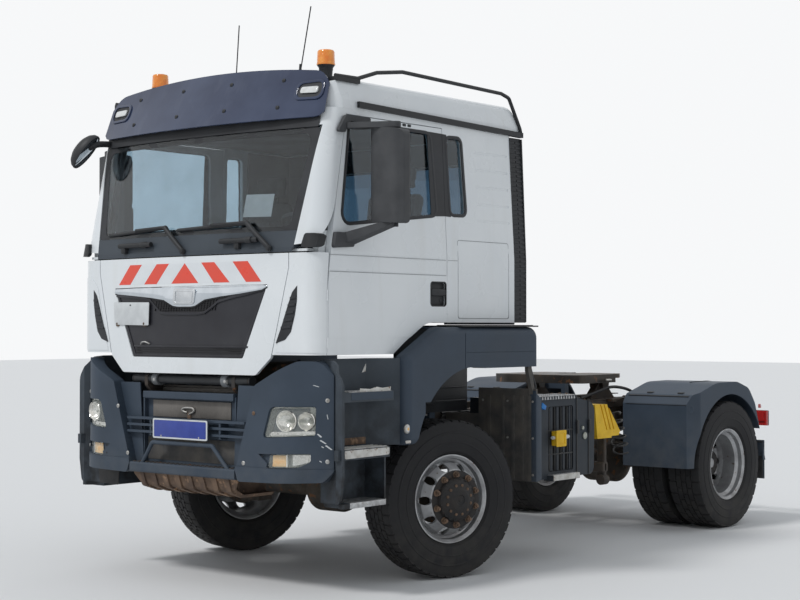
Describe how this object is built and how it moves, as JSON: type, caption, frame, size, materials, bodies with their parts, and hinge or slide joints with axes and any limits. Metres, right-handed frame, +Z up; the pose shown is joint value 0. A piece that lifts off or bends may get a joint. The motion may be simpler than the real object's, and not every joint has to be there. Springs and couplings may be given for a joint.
{
  "type": "tractor unit",
  "caption": "Two-axle all-wheel-drive truck tractor with a tilting day cab, smoked sun visor, rear mudguards and a fifth wheel coupling",
  "frame": {"origin": "middle of the overall length and width, on the road under the tyres", "axes": "+Z up, -Y the way the vehicle drives forward, +X to the vehicle's left"},
  "size_m": [2.9, 5.9121, 3.7649],
  "materials": {
    "frame_steel": "black chassis paint, road dust",
    "axle_iron": "painted casting, rust film",
    "bumper_plastic": "grained blue grey moulding with scuffs",
    "lamp_glass": "clear lens over bright reflector",
    "tail_red": "red lens",
    "skid_rust": "rusted ribbed plate",
    "radiator_alloy": "dull fins",
    "engine_iron": "painted block",
    "box_plastic": "black moulding",
    "tank_alloy": "mill finish tank",
    "coupling_steel": "greased black plate",
    "chock_yellow": "yellow plastic",
    "cab_white": "gloss white paint",
    "cab_inner": "white paint, inner trim",
    "window_glass": "lightly green glass",
    "scuttle_plastic": "grained dark moulding",
    "visor_smoke": "smoked dark blue plastic",
    "beacon_amber": "amber lens on black base",
    "black_trim": "black moulding",
    "dash_plastic": "grained dark grey",
    "seat_fabric": "dark woven cloth",
    "grille_plastic": "dark grey panel",
    "rim_silver": "silver paint",
    "tyre_rubber": "worn black rubber",
    "knuckle_iron": "dark casting"
  },
  "bodies": {
    "chassis": {"frame_rails": "frame_steel", "crossmembers": "frame_steel", "bumper_centre": "bumper_plastic", "bumper_corners": "bumper_plastic", "front_lamps": "lamp_glass", "tail_lamps": "tail_red", "skid_plate": "skid_rust", "radiator": "radiator_alloy", "powertrain": "engine_iron", "front_axle": "axle_iron", "rear_axle": "axle_iron", "springs": "frame_steel", "battery_box": "box_plastic", "fuel_tank": "tank_alloy", "mudguards": "bumper_plastic", "wheel_arches": "bumper_plastic", "entry_steps": "bumper_plastic", "splash_panels": "box_plastic", "fifth_wheel_mount": "frame_steel", "wheel_chocks": "chock_yellow"},
    "cab": {"cab_floor": "cab_inner", "cab_sides": "cab_white", "cab_rear_wall": "cab_white", "cab_roof": "cab_white", "cab_front": "cab_white", "windscreen": "window_glass", "quarter_glass": "window_glass", "corner_panels": "cab_white", "wiper_panel": "scuttle_plastic", "sun_visor": "visor_smoke", "beacons": "beacon_amber", "cab_trim": "black_trim", "antennas": "black_trim", "dashboard": "dash_plastic", "seats": "seat_fabric", "front_mirror": "black_trim", "side_flaps": "black_trim"},
    "flap": {"front_flap": "cab_white", "grille": "grille_plastic"},
    "door_left": {"door_left": "cab_white", "door_glass_left": "window_glass", "mirror_left": "black_trim"},
    "door_right": {"door_right": "cab_white", "door_glass_right": "window_glass", "mirror_right": "black_trim"},
    "steering_wheel": {"steering_wheel": "dash_plastic"},
    "steer_left": {"knuckle_left": "knuckle_iron"},
    "steer_right": {"knuckle_right": "knuckle_iron"},
    "front_wheel_left": {"front_rim_left": "rim_silver", "front_tyre_left": "tyre_rubber"},
    "front_wheel_right": {"front_rim_right": "rim_silver", "front_tyre_right": "tyre_rubber"},
    "rear_wheel_left": {"rear_rims_left": "rim_silver", "rear_tyres_left": "tyre_rubber"},
    "rear_wheel_right": {"rear_rims_right": "rim_silver", "rear_tyres_right": "tyre_rubber"},
    "fifth_wheel": {"fifth_wheel": "coupling_steel"}
  },
  "joints": [
    {"name": "cab_tilt", "type": "hinge", "parent": "chassis", "child": "cab", "pos_m": [0, -2.84, 1.345], "axis": [1, 0, 0], "range_deg": [0, 60]},
    {"name": "flap_lift", "type": "hinge", "parent": "cab", "child": "flap", "pos_m": [0, -2.88, 2.136], "axis": [-1, 0, 0], "range_deg": [0, 65]},
    {"name": "door_left_swing", "type": "hinge", "parent": "cab", "child": "door_left", "pos_m": [1.12, -2.756, 1.74], "axis": [0, 0, -1], "range_deg": [0, 75]},
    {"name": "door_right_swing", "type": "hinge", "parent": "cab", "child": "door_right", "pos_m": [-1.12, -2.756, 1.74], "axis": [0, 0, 1], "range_deg": [0, 75]},
    {"name": "steer_left_turn", "type": "hinge", "parent": "chassis", "child": "steer_left", "pos_m": [0.86, -1.45, 0.532], "axis": [0, 0, 1], "range_deg": [-20.5, 51.5]},
    {"name": "steer_right_turn", "type": "hinge", "parent": "chassis", "child": "steer_right", "pos_m": [-0.86, -1.45, 0.532], "axis": [0, 0, 1], "range_deg": [-20.5, 51.5]},
    {"name": "steering_wheel_turn", "type": "hinge", "parent": "cab", "child": "steering_wheel", "pos_m": [0.62, -2.33, 2.33], "axis": [0, 0.4226, 0.9063], "range_deg": [-328, 824]},
    {"name": "front_wheel_left_spin", "type": "hinge", "parent": "steer_left", "child": "front_wheel_left", "pos_m": [0.86, -1.45, 0.532], "axis": [0.9636, -0.2672, 0], "continuous": true},
    {"name": "front_wheel_right_spin", "type": "hinge", "parent": "steer_right", "child": "front_wheel_right", "pos_m": [-0.86, -1.45, 0.532], "axis": [0.9636, -0.2672, 0], "continuous": true},
    {"name": "rear_wheel_left_spin", "type": "hinge", "parent": "chassis", "child": "rear_wheel_left", "pos_m": [0.922, 2.15, 0.532], "axis": [1, 0, 0], "continuous": true},
    {"name": "rear_wheel_right_spin", "type": "hinge", "parent": "chassis", "child": "rear_wheel_right", "pos_m": [-0.922, 2.15, 0.532], "axis": [1, 0, 0], "continuous": true},
    {"name": "fifth_wheel_tilt", "type": "hinge", "parent": "chassis", "child": "fifth_wheel", "pos_m": [0, 1.55, 1.2], "axis": [1, 0, 0], "range_deg": [-12, 12]}
  ],
  "couplings": [
    {"joint": "steer_right_turn", "follows": "steer_left_turn", "ratio": 1},
    {"joint": "steering_wheel_turn", "follows": "steer_left_turn", "ratio": 16}
  ]
}
